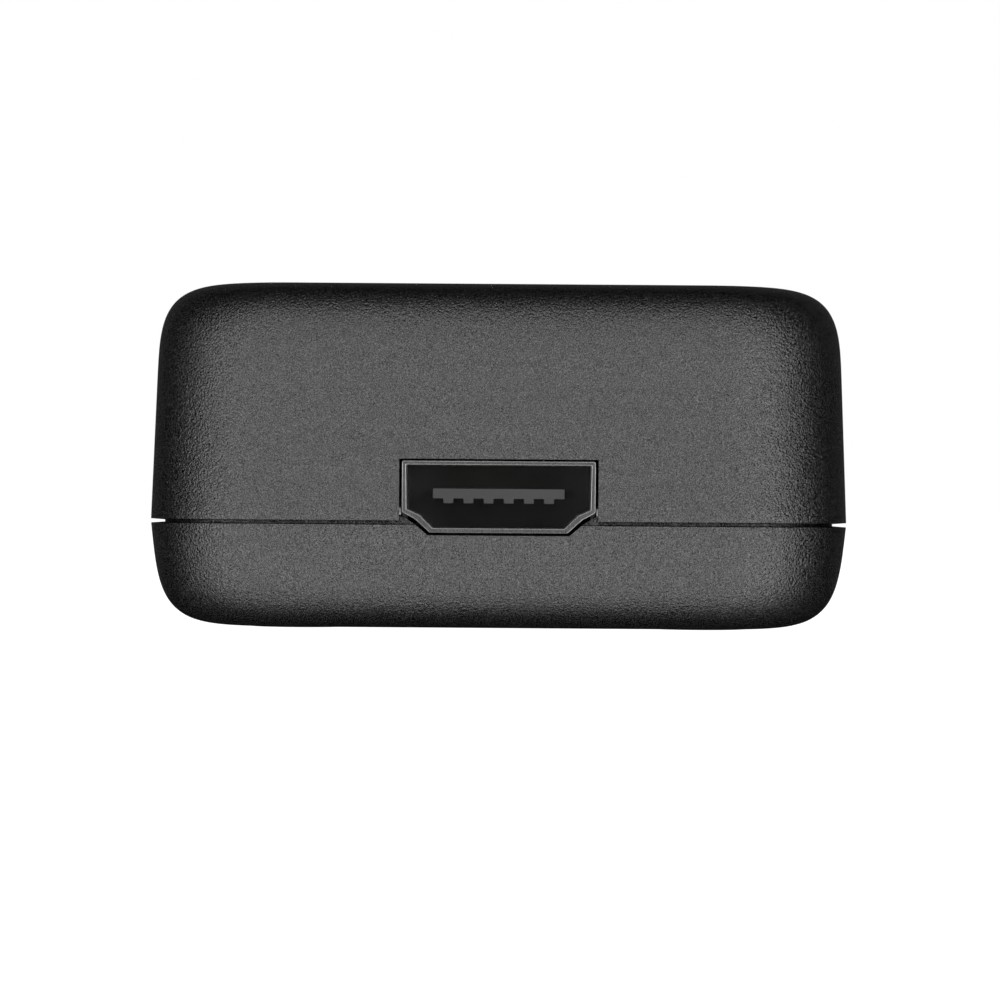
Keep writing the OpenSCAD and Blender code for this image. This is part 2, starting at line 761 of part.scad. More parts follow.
// ---- nodes ----
black = [0.09, 0.09, 0.092];
steel = [0.72, 0.72, 0.74];
gold = [0.83, 0.66, 0.32];
chip_black = [0.05, 0.05, 0.055];
color(black) top_shell();
color(black) bottom_shell();
color([0.04, 0.04, 0.04]) rubber_feet();
color(steel) case_screws();
color([0.6, 0.6, 0.6]) base_label();
color([0.03, 0.2, 0.1]) main_board();
color(steel) board_screws();
color(steel) hdmi_shell();
color(chip_black) hdmi_housing();
color(gold) hdmi_contacts_upper();
color(gold) hdmi_contacts_lower();
color(steel) lan_shield();
color(chip_black) lan_housing();
color(gold) lan_contacts();
color([0.8, 0.85, 0.8]) lan_light_pipes();
color(steel) usb_c_shell();
color(chip_black) usb_c_housing();
color(gold) usb_c_contacts();
color(black) pairing_button();
color([0.7, 0.1, 0.08]) switch_plunger();
color(chip_black) switch_frame();
color(steel) switch_cover();
color([0.9, 0.92, 0.95]) status_light_pipe();
color([0.9, 0.9, 0.8]) status_led();
color(chip_black) processor();
color([0.55, 0.6, 0.7]) thermal_pad();
color([0.7, 0.71, 0.72]) heat_sink();
color([0.85, 0.85, 0.83]) heat_sink_pins();
color(steel) heat_sink_springs();
color(chip_black) memory_chips();
color(chip_black) storage_chip();
color([0.03, 0.2, 0.1]) wifi_module();
color(steel) wifi_shield();
color(steel) aerial(-22.4, 13, -1);  // antenna_left
color(steel) aerial(22.4, -14, 1);  // antenna_right
color(chip_black) ethernet_chip();
color(chip_black) ethernet_transformer();
color(chip_black) power_chip();
color([0.3, 0.3, 0.31]) power_inductors();
color(steel) bulk_capacitors();
color(chip_black) bulk_capacitor_bases();
color([0.55, 0.42, 0.3]) ceramic_capacitors();
color(steel) crystals();
color(chip_black) surge_protectors();
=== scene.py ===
import math

import bmesh
import bpy
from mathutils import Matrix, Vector


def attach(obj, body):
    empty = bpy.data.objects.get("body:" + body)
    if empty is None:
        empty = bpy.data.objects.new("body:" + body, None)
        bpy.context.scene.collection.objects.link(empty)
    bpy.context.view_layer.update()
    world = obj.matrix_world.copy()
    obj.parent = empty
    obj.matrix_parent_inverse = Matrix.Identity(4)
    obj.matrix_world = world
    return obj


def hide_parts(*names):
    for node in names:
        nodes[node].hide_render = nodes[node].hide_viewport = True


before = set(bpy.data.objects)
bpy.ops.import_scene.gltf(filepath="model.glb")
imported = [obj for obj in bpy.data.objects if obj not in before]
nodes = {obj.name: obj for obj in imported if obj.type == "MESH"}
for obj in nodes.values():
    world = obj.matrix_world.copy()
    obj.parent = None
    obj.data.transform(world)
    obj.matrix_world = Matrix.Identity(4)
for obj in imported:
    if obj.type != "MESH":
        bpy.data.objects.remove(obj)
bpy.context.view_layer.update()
MM = 0.001

# ---------------------------------------------------------------- camera
SOCKET_MOUTH_Y = -41.72
CAMERA_DISTANCE = 375.0
CAMERA_X, CAMERA_Z = 0.1, 10.3
CAMERA_ROLL = -0.42
camera_data = bpy.data.cameras.new("camera")
camera_data.sensor_width = 36
camera_data.lens = 174.84
camera_data.clip_start = 0.01
camera_data.clip_end = 20
camera = bpy.data.objects.new("camera", camera_data)
camera.location = Vector((CAMERA_X, SOCKET_MOUTH_Y - CAMERA_DISTANCE, CAMERA_Z)) * MM
camera.rotation_euler = (math.radians(90), math.radians(CAMERA_ROLL), 0)
bpy.context.collection.objects.link(camera)
bpy.context.scene.camera = camera
bpy.context.scene.view_settings.view_transform = "Standard"


# ---------------------------------------------------------------- materials
class Painter:
    """Builds one node material around a Principled shader."""

    def __init__(self, name, **inputs):
        self.material = bpy.data.materials.new(name)
        self.material.use_nodes = True
        self.tree = self.material.node_tree
        self.shader = self.tree.nodes["Principled BSDF"]
        for key, value in inputs.items():
            self.shader.inputs[key.replace("_", " ")].default_value = value
        self.coords = self.add("ShaderNodeTexCoord").outputs["Object"]

    def add(self, kind, **settings):
        node = self.tree.nodes.new(kind)
        for key, value in settings.items():
            setattr(node, key, value)
        return node

    def feed(self, node, key, value):
        if isinstance(value, bpy.types.NodeSocket):
            self.tree.links.new(value, node.inputs[key])
        else:
            node.inputs[key].default_value = value

    def scaled(self, scale):
        node = self.add("ShaderNodeMapping")
        self.feed(node, "Vector", self.coords)
        node.inputs["Scale"].default_value = scale
        return node.outputs["Vector"]

    def noise(self, scale, detail=2.0, roughness=0.5, stretch=None):
        node = self.add("ShaderNodeTexNoise")
        self.feed(node, "Vector", self.scaled(stretch) if stretch else self.coords)
        self.feed(node, "Scale", scale)
        self.feed(node, "Detail", detail)
        self.feed(node, "Roughness", roughness)
        return node.outputs["Fac"]

    def math(self, operation, a, b=None, c=None):
        node = self.add("ShaderNodeMath", operation=operation)
        for slot, value in enumerate((a, b, c)):
            if value is not None:
                self.feed(node, slot, value)
        return node.outputs["Value"]

    def vector(self, operation, a, b=None):
        node = self.add("ShaderNodeVectorMath", operation=operation)
        for slot, value in enumerate((a, b)):
            if value is not None:
                self.feed(node, slot, value)
        return node.outputs["Value" if operation == "LENGTH" else "Vector"]

    def ramp(self, factor, *stops):
        node = self.add("ShaderNodeValToRGB")
        self.feed(node, "Fac", factor)
        elements = node.color_ramp.elements
        while len(elements) < len(stops):
            elements.new(0.5)
        for element, (place, value) in zip(elements, stops):
            element.position = place
            element.color = (*value, 1) if isinstance(value, tuple) else (value, value, value, 1)
        return node.outputs["Color"]

    def blend(self, factor, a, b):
        node = self.add("ShaderNodeMix", data_type="RGBA")
        self.feed(node, 0, factor)
        for slot, value in ((6, a), (7, b)):
            self.feed(node, slot, value if isinstance(value, bpy.types.NodeSocket) else (*value, 1))
        return node.outputs[2]

    def axis(self, name):
        node = self.add("ShaderNodeSeparateXYZ")
        self.feed(node, "Vector", self.coords)
        return node.outputs[name]

    def colour(self, value):
        self.feed(self.shader, "Base Color", value)
        return self

    def rough(self, value):
        self.feed(self.shader, "Roughness", value)
        return self

    def bump(self, height, depth, strength=1.0):
        node = self.add("ShaderNodeBump")
        self.feed(node, "Height", height)
        self.feed(node, "Strength", strength)
        self.feed(node, "Distance", depth)
        self.feed(self.shader, "Normal", node.outputs["Normal"])
        return self


GRAIN_IOR = 2.0


def spark_grain_plastic(name, dark, light, roughness, depth):
    """Moulded plastic with a spark-eroded pebble grain."""
    paint = Painter(name, IOR=GRAIN_IOR, Specular_IOR_Level=0.5)
    fine = paint.noise(9500, detail=1.0)
    relief = paint.noise(7000, detail=1.0)
    pebble = paint.noise(3900, detail=0.0)
    height = paint.math("ADD", paint.math("MULTIPLY", pebble, 0.3), relief)
    paint.colour(paint.ramp(fine, (0.42, dark), (0.64, light)))
    cloud = paint.noise(60, detail=2.0)
    paint.rough(paint.ramp(cloud, (0.3, roughness - 0.02), (0.7, roughness + 0.03)))
    return paint.bump(height, depth).material


def moulded_plastic(name, colour, roughness, specular=0.5, depth=6e-6):
    """Smooth moulded plastic with a faint orange-peel and cloudy tone."""
    paint = Painter(name, Specular_IOR_Level=specular)
    fine = paint.noise(5200, detail=2.0)
    cloud = paint.noise(240, detail=2.0)
    darker = tuple(0.85 * c for c in colour)
    lighter = tuple(min(1, 1.15 * c) for c in colour)
    paint.colour(paint.blend(cloud, darker, lighter))
    paint.rough(paint.ramp(fine, (0.3, roughness - 0.04), (0.7, roughness + 0.04)))
    return paint.bump(fine, depth).material


def plated_metal(name, colour, roughness, along=(1, 1, 1), depth=1.2e-6, variation=0.12):
    """Plated or rolled sheet metal: fine scratches run along one direction."""
    paint = Painter(name, Metallic=1.0)
    streak = paint.noise(9000, detail=3.0, stretch=along)
    cloud = paint.noise(420, detail=2.0)
    dull = tuple((1 - variation) * c for c in colour)
    paint.colour(paint.blend(cloud, dull, colour))
    paint.rough(paint.ramp(streak, (0.25, roughness - 0.07), (0.75, roughness + 0.07)))
    return paint.bump(streak, depth).material


case_plastic = spark_grain_plastic("case_plastic", 0.0008, 0.045, 0.21, 95e-6)
button_plastic = spark_grain_plastic("button_plastic", 0.004, 0.05, 0.26, 14e-6)
rubber = moulded_plastic("foot_rubber", (0.022, 0.022, 0.022), 0.8, 0.25, 9e-6)
connector_grey = moulded_plastic("tongue_plastic", (0.06, 0.06, 0.06), 0.5, 0.8, 3e-6)
connector_deep = moulded_plastic("socket_floor_plastic", (0.07, 0.07, 0.07), 0.8, 0.3, 3e-6)
connector_black = moulded_plastic("connector_plastic", (0.018, 0.018, 0.019), 0.5, 0.5, 4e-6)
# The socket's front rim: the sleeve's own metal painted darker, as painted shade on its
# front-facing faces
rim_painted_shade_metal = plated_metal("socket_rim_painted_shade", (0.36, 0.36, 0.36), 0.27, (1, 1, 0.06))
sleeve_metal = plated_metal("socket_metal", (0.75, 0.75, 0.75), 0.38, (1, 0.06, 1))
bright_tab = plated_metal("tab_metal", (0.95, 0.95, 0.95), 0.6)
nickel = plated_metal("nickel_sheet", (0.62, 0.61, 0.59), 0.3, (1, 0.06, 1))
tinned = plated_metal("tinned_sheet", (0.66, 0.66, 0.67), 0.38, (0.08, 1, 1))
zinc = plated_metal("zinc_steel", (0.55, 0.56, 0.6), 0.33)
spring_wire = plated_metal("spring_wire", (0.5, 0.5, 0.52), 0.25)
gold = plated_metal("contact_gold", (0.9, 0.66, 0.26), 0.22, (1, 0.1, 1), 0.6e-6)
extrusion = plated_metal("extruded_aluminium", (0.74, 0.75, 0.76), 0.36, (1, 0.03, 1), 3e-6)
bare_can = plated_metal("bare_aluminium", (0.8, 0.8, 0.81), 0.28, (1, 1, 0.08))
epoxy = moulded_plastic("chip_epoxy", (0.02, 0.02, 0.022), 0.62, 0.4, 7e-6)
ferrite = moulded_plastic("pressed_ferrite", (0.11, 0.11, 0.115), 0.75, 0.3, 14e-6)
nylon = moulded_plastic("nylon", (0.72, 0.72, 0.68), 0.45, 0.5, 4e-6)
gap_filler = moulded_plastic("gap_filler", (0.3, 0.36, 0.5), 0.85, 0.2, 18e-6)
plunger_red = moulded_plastic("plunger_plastic", (0.42, 0.03, 0.02), 0.4, 0.5, 3e-6)
phosphor = moulded_plastic("led_resin", (0.85, 0.78, 0.42), 0.25, 0.5, 3e-6)


def label_film():
    """Blank satin film with a faint brushed sheen."""
    paint = Painter("label_film", Specular_IOR_Level=0.4)
    streak = paint.noise(5000, detail=2.0, stretch=(0.04, 1, 1))
    paint.colour(paint.ramp(streak, (0.3, 0.19), (0.7, 0.25)))
    paint.rough(paint.ramp(streak, (0.2, 0.42), (0.8, 0.52)))
    return paint.bump(streak, 1.5e-6).material


def light_guide(name, tint):
    """Clear moulded guide with faint flow lines."""
    paint = Painter(name, IOR=1.49, Transmission_Weight=0.55)
    flow = paint.noise(1800, detail=2.0, stretch=(1, 0.2, 1))
    paint.colour(paint.blend(flow, tuple(0.9 * c for c in tint), tint))
    paint.rough(paint.ramp(flow, (0.3, 0.16), (0.7, 0.26)))
    return paint.bump(flow, 2e-6).material


def board_laminate(name):
    """Solder mask over copper: routed lines show as a faint relief, with tinned via dots."""
    paint = Painter(name, Specular_IOR_Level=0.5)
    lines = paint.add("ShaderNodeTexBrick", offset=0.37, squash=1.6)
    paint.feed(lines, "Vector", paint.coords)
    paint.feed(lines, "Scale", 520.0)
    paint.feed(lines, "Mortar Size", 0.045)
    paint.feed(lines, "Mortar Smooth", 0.2)
    routed = paint.math("GREATER_THAN", paint.noise(160, detail=1.0), 0.5)
    track = paint.math("MULTIPLY", lines.outputs["Fac"], routed)
    via_cells = paint.add("ShaderNodeTexVoronoi", feature="F1")
    paint.feed(via_cells, "Vector", paint.coords)
    paint.feed(via_cells, "Scale", 420.0)
    via = paint.math("LESS_THAN", via_cells.outputs["Distance"], 0.085)
    mask = paint.blend(track, (0.008, 0.055, 0.026), (0.02, 0.115, 0.05))
    paint.colour(paint.blend(via, mask, (0.5, 0.5, 0.48)))
    paint.rough(paint.ramp(paint.noise(900), (0.3, 0.3), (0.7, 0.42)))
    return paint.bump(paint.math("ADD", track, via), 12e-6).material


CERAMIC_BODY_HALF = 0.48


def ceramic(rows_mm):
    """Fired ceramic bodies with tinned ends; the rows lie across Y."""
    paint = Painter("ceramic_body", Specular_IOR_Level=0.5)
    y = paint.axis("Y")
    body = 0.0
    for row in rows_mm:
        body = paint.math("ADD", paint.math("COMPARE", y, row * MM, CERAMIC_BODY_HALF * MM), body)
    grain = paint.noise(5200)
    fired = paint.ramp(grain, (0.3, (0.2, 0.125, 0.07)), (0.7, (0.33, 0.22, 0.13)))
    paint.colour(paint.blend(body, (0.62, 0.62, 0.63), fired))
    paint.feed(paint.shader, "Metallic", paint.math("SUBTRACT", 1.0, body))
    paint.rough(paint.ramp(grain, (0.3, 0.32), (0.7, 0.48)))
    return paint.bump(grain, 6e-6).material


clear_guide = light_guide("clear_guide", (0.9, 0.94, 0.92))
laminate = board_laminate("solder_mask")
label_material = label_film()
CERAMIC_ROWS = (-22.5, -17, 3.5, 19)
ceramic_material = ceramic(CERAMIC_ROWS)

# ---------------------------------------------------------------- case profile, in millimetres
BODY_W = 55.0
BODY_L = 84.0
BODY_TOP = 27.299
BASE_Z = 0.201
SEAM_Z = 8.5
WALL = 1.8
CORNER_R = 10.0
CORNER_EXPONENT = 2.2
CORNER_STEPS = 22
LEAST_CORNER_R = 1.2
CORNER_SHRINK = 0.72
UPPER_DRAFT = 0.038
LOWER_DRAFT = 0.1
UPPER_EDGE = (9.4, 8.45, 4.3)
LOWER_EDGE = (11.0, 10.6, 5.3)
GROOVE_HALF = 0.16
END_Y = BODY_L / 2
EDGE_STEPS = 40
CAVITY_STEPS = 30


def quarter(edge, turn):
    """(inset, depth from the face) on a quarter superellipse; turn runs 0 to 1, side to face."""
    reach, height, exponent = edge
    angle = turn * math.pi / 2
    across = max(0.0, math.cos(angle)) ** (2 / exponent)
    up = math.sin(angle) ** (2 / exponent)
    return reach * (1 - across), height * (1 - up)


def quarter_inset(edge, rise):
    """The inset of the same curve at a given depth from the face."""
    reach, height, exponent = edge
    t = max(0.0, min(1.0, (height - rise) / height))
    return reach * (1 - max(0.0, 1 - t**exponent) ** (1 / exponent))


def upper_inset(z):
    return UPPER_DRAFT * (z - SEAM_Z) + quarter_inset(UPPER_EDGE, BODY_TOP - z)


def lower_inset(z):
    return LOWER_DRAFT * (SEAM_Z - z) + quarter_inset(LOWER_EDGE, z - BASE_Z)


def ring(inset, z):
    """The case's outline at height z, drawn in by inset, with superellipse corners."""
    r = max(LEAST_CORNER_R, CORNER_R - CORNER_SHRINK * inset)
    cx, cy = BODY_W / 2 - inset - r, BODY_L / 2 - inset - r
    power = 2 / CORNER_EXPONENT
    points = []
    for quadrant in range(4):
        for i in range(CORNER_STEPS + 1):
            angle = math.pi / 2 * i / CORNER_STEPS
            c = r * max(0.0, math.cos(angle)) ** power
            s = r * math.sin(angle) ** power
            turned = ((cx + c, cy + s), (-cx - s, cy + c), (-cx - c, -cy - s), (cx + s, -cy - c))
            points.append((*turned[quadrant], z))
    return points


# ---------------------------------------------------------------- mesh helpers
def stack(rings):
    """A closed bmesh through rings of equal length, with a flat cap at each end."""
    bm = bmesh.new()
    rows = [[bm.verts.new(Vector(p) * MM) for p in points] for points in rings]
    count = len(rings[0])
    for low, high in zip(rows, rows[1:]):
        for i in range(count):
            j = (i + 1) % count
            bm.faces.new((low[i], low[j], high[j], high[i]))
    bm.faces.new(rows[0][::-1])
    bm.faces.new(rows[-1])
    bmesh.ops.recalc_face_normals(bm, faces=bm.faces)
    return bm


def to_object(name, bm, smooth_angle=35):
    mesh = bpy.data.meshes.new(name)
    bm.to_mesh(mesh)
    bm.free()
    obj = bpy.data.objects.new(name, mesh)
    bpy.context.collection.objects.link(obj)
    smooth(mesh, smooth_angle)
    return obj


def smooth(mesh, angle):
    mesh.polygons.foreach_set("use_smooth", [True] * len(mesh.polygons))
    mesh.set_sharp_from_angle(angle=math.radians(angle))


def fillet(corners, radius, steps=6):
    """An outline whose corners are rounded; radius is one number or one for each corner."""
    radii = radius if isinstance(radius, (list, tuple)) else [radius] * len(corners)
    outline = []
    for i, corner in enumerate(corners):
        here = Vector(corner)
        back = (Vector(corners[i - 1]) - here).normalized()
        ahead = (Vector(corners[(i + 1) % len(corners)]) - here).normalized()
        half = back.angle(ahead) / 2
        middle = (back + ahead).normalized()
        centre = here + middle * (radii[i] / math.sin(half))
        start = here + back * (radii[i] / math.tan(half)) - centre
        turn = math.pi - 2 * half
        if back.x * ahead.y - back.y * ahead.x > 0:
            turn = -turn
        for k in range(steps + 1):
            angle = turn * k / steps
            c, s = math.cos(angle), math.sin(angle)
            x, y = start.x * c - start.y * s, start.x * s + start.y * c
            outline.append((centre.x + x, centre.y + y))
    return outline


def grow(corners, amount):
    """The corners moved outwards along both neighbouring edges; the outline runs anticlockwise."""
    grown = []
    for i, corner in enumerate(corners):
        here = Vector(corner)
        before = (here - Vector(corners[i - 1])).normalized()
        after = (Vector(corners[(i + 1) % len(corners)]) - here).normalized()
        normal_in, normal_out = Vector((before.y, -before.x)), Vector((after.y, -after.x))
        bisector = (normal_in + normal_out).normalized()
        grown.append(tuple(here + bisector * (amount / bisector.dot(normal_in))))
    return grown


def rectangle(x0, z0, x1, z1):
    return [(x0, z0), (x1, z0), (x1, z1), (x0, z1)]


def along_y(outline, y):
    return [(x, y, z) for x, z in outline]


def along_z(outline, z):
    return [(x, y, z) for x, y in outline]


def circle(cx, cy, r, steps=48):
    return [
        (cx + r * math.cos(2 * math.pi * i / steps), cy + r * math.sin(2 * math.pi * i / steps))
        for i in range(steps)
    ]


def stadium(cx, cz, w, h, steps=12):
    box = rectangle(cx - w / 2, cz - h / 2, cx + w / 2, cz + h / 2)
    return fillet(box, h / 2 - 0.001, steps)


def carve(obj, cutters, operation="DIFFERENCE"):
    """Applies each closed bmesh to obj, and leaves a plain mesh."""
    tools = [to_object("tool", bm) for bm in cutters]
    for tool in tools:
        modifier = obj.modifiers.new("cut", "BOOLEAN")
        modifier.object = tool
        modifier.operation = operation
        modifier.solver = "EXACT"
    graph = bpy.context.evaluated_depsgraph_get()
    mesh = bpy.data.meshes.new_from_object(obj.evaluated_get(graph))
    obj.modifiers.clear()
    obj.data = mesh
    for tool in tools:
        bpy.data.objects.remove(tool)


def soften(obj, chosen, width, segments=3, least_angle=40):
    """Rounds the sharp edges whose middle passes chosen(x, y, z), in millimetres."""
    bm = bmesh.new()
    bm.from_mesh(obj.data)
    edges = []
    for edge in bm.edges:
        if len(edge.link_faces) != 2 or edge.calc_face_angle(0) < math.radians(least_angle):
            continue
        middle = (edge.verts[0].co + edge.verts[1].co) / 2 / MM
        if chosen(*middle):
            edges.append(edge)
    bmesh.ops.bevel(
        bm, geom=edges, offset=width * MM, offset_type="OFFSET", segments=segments,
        profile=0.5, affect="EDGES", clamp_overlap=True,
    )
    bm.to_mesh(obj.data)
    bm.free()


def finish_piece(obj, material, *replaced, body="case", angle=35):
    obj.data.materials.clear()
    obj.data.materials.append(material)
    smooth(obj.data, angle)
    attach(obj, body)
    if replaced:
        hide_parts(*replaced)


# ---------------------------------------------------------------- openings shared by the shells
HDMI_Z = 10.53
HDMI_OUTER = [(7.5, 2.78), (7.5, -1.19), (6.5, -1.74), (5.32, -2.8)]
HDMI_INNER = [(7.16, 2.46), (7.1, -0.97), (6.12, -1.4), (5.08, -2.42)]
HDMI_CUT = [(7.7, 2.92), (7.7, -1.42), (6.46, -2.15), (5.46, -3.0)]
LAN_X, LAN_W, LAN_Z0, LAN_H = -4.0, 16.0, 7.6, 13.4
USB_X, USB_Z, USB_W, USB_H = 10.6, 9.28, 8.94, 3.26
BUTTON_X, LIGHT_X, BUTTON_Z = -16.0, 17.5, 11.5
BUTTON_HOLE_R, LIGHT_HOLE_R = 1.65, 1.0
FITTING_GAP = 0.2
SCREWS = [(sx * 16.0, sy * 24.0) for sx in (-1, 1) for sy in (-1, 1)]
BOARD_SCREWS = [(-20.5, -2.0), (20.5, -2.0)]
CUT_EDGE = 0.07
CUT_EDGE_Y = 41.2


def skin_normal(x, y, z):
    """The outward direction of the case's outer skin, or None for a point that is not on it."""
    inset_at = upper_inset if z > SEAM_Z else lower_inset
    inset = inset_at(z)
    r = max(LEAST_CORNER_R, CORNER_R - CORNER_SHRINK * inset)
    u = max(0.0, abs(x) - (BODY_W / 2 - inset - r)) / r
    v = max(0.0, abs(y) - (BODY_L / 2 - inset - r)) / r
    if abs((u**CORNER_EXPONENT + v**CORNER_EXPONENT) ** (1 / CORNER_EXPONENT) - 1) > 0.02 / r:
        return None
    power = CORNER_EXPONENT - 1
    plan = Vector((u**power, v**power)).normalized()
    slope = (inset_at(z + 0.01) - inset_at(z - 0.01)) / 0.02
    spread = (1 - CORNER_SHRINK) * (plan.x + plan.y) + CORNER_SHRINK * (u * plan.x + v * plan.y)
    return Vector((math.copysign(plan.x, x), math.copysign(plan.y, y), slope * spread)).normalized()


def smooth_skin(mesh):
    """Gives the outer skin its true normals, so cut-outs leave no shading marks in it."""
    normals = []
    for polygon in mesh.polygons:
        for index in polygon.loop_indices:
            x, y, z = mesh.vertices[mesh.loops[index].vertex_index].co / MM
            normal = skin_normal(x, y, z) if abs(z - SEAM_Z) > 0.3 else None
            on_skin = normal is not None and polygon.normal.dot(normal) > 0.93
            normals.append(normal if on_skin else (0, 0, 0))
    mesh.normals_split_custom_set(normals)


def both_halves(half):
    """A closed anticlockwise outline from its right half, given from the top down."""
    right = [(x, z + HDMI_Z) for x, z in half]
    return [(-x, z) for x, z in right] + right[::-1]


def end_hole(outline, y0, y1):
    """A prism along Y from an (x, z) outline."""
    return stack([along_y(outline, y0), along_y(outline, y1)])


def upright(outline, z0, z1):
    """A prism along Z from an (x, y) outline."""
    return stack([along_z(outline, z0), along_z(outline, z1)])


def rear_cutters():
    half = LAN_W / 2
    lan = grow(rectangle(LAN_X - half, LAN_Z0, LAN_X + half, LAN_Z0 + LAN_H), FITTING_GAP)
    usb = stadium(USB_X, USB_Z, USB_W + 2 * FITTING_GAP, USB_H + 2 * FITTING_GAP)
    return [end_hole(outline, END_Y - 4, END_Y + 3) for outline in (fillet(lan, 0.35), usb)]


# ---------------------------------------------------------------- top shell
UPPER_LEVELS = (21.2, 20.2, 19.2, 18, 16.5, 14.5, 12.5, 10.5, 9.3)
RIM_TOP = 10.3
CAVITY_LOW = 12.1
UPPER_BOSS_R, UPPER_BORE_R = 2.4, 1.22
WINDOW_HALF, WINDOW_TOP = 7.7, 2.92


def top_shell():
    outer = []
    for k in range(EDGE_STEPS, 2, -1):
        inset, below = quarter(UPPER_EDGE, k / EDGE_STEPS)
        z = BODY_TOP - below
        outer.append((inset + UPPER_DRAFT * (z - SEAM_Z), z))
    outer += [(upper_inset(z), z) for z in UPPER_LEVELS]
    mouth = SEAM_Z + GROOVE_HALF
    outer += [(0.009, mouth + 0.035), (0.015, mouth + 0.012), (0.03, mouth), (0.06, mouth - 0.003)]
    rim = [(0.94, SEAM_Z + 0.09), (0.95, SEAM_Z + 0.1), (1.018, RIM_TOP), (WALL + 0.068, RIM_TOP)]
    inner = [(WALL + upper_inset(CAVITY_LOW + WALL), CAVITY_LOW)]
    ceiling = BODY_TOP - WALL
    for k in range(5, CAVITY_STEPS, 2):
        inset, below = quarter(UPPER_EDGE, k / CAVITY_STEPS)
        z = ceiling - below
        inner.append((WALL + inset + UPPER_DRAFT * (z + WALL - SEAM_Z), z))
    shell = to_object("top_shell_skin", stack([ring(*p) for p in outer + rim + inner]))
    bosses = [upright(circle(x, y, UPPER_BOSS_R), 7.7, ceiling + 0.3) for x, y in SCREWS]
    carve(shell, bosses, "UNION")
    window = rectangle(-WINDOW_HALF, SEAM_Z - 2, WINDOW_HALF, HDMI_Z + WINDOW_TOP)
    holes = [upright(circle(x, y, UPPER_BORE_R), 7, 14.4) for x, y in SCREWS]
    holes += [end_hole(fillet(window, 0.06, 3), -END_Y - 2, -END_Y + 4)] + rear_cutters()
    for x, radius, steps in ((BUTTON_X, BUTTON_HOLE_R, 64), (LIGHT_X, LIGHT_HOLE_R, 48)):
        holes.append(end_hole(circle(x, BUTTON_Z, radius, steps), END_Y - 4, END_Y + 3))
    carve(shell, holes)
    soften(shell, lambda x, y, z: abs(y) > CUT_EDGE_Y and z > 8.9, CUT_EDGE)
    finish_piece(shell, case_plastic, "top_shell")
    smooth_skin(shell.data)


# ---------------------------------------------------------------- bottom shell
LOWER_LEVELS = (7.7, 7.0)
LIP_TOP = 10.05
LOWER_BOSS_R, BOARD_BOSS_R, BOARD_BORE_R = 3.3, 2.3, 0.97
FOOT_R, SCREW_HEAD_R, SCREW_R = 4.0, 2.35, 1.4
FOOT_FLARE, VENT_FLARE, LABEL_FLARE = 0.12, 0.18, 0.05
VENT_ROWS, VENTS_IN_ROW, VENT_PITCH, VENT_W, VENT_L = (-16, -4), 9, 2.6, 1.2, 10
LABEL_BOX, LABEL_CORNER, LABEL_DEPTH = (-15.2, 4.8, 15.2, 17.2), 1.2, 0.15


def flared(outline_at, z_face, depth, flare):
    """A cutter that opens out in a quarter round where it meets the face at z_face."""
    rings = [along_z(outline_at(flare), z_face - 1)]
    for k in range(5):
        angle = math.pi / 2 * k / 4
        outline = outline_at(flare * (1 - math.sin(angle)))
        rings.append(along_z(outline, z_face + flare * (1 - math.cos(angle))))
    rings.append(along_z(outline_at(0), z_face + depth))
    return stack(rings)


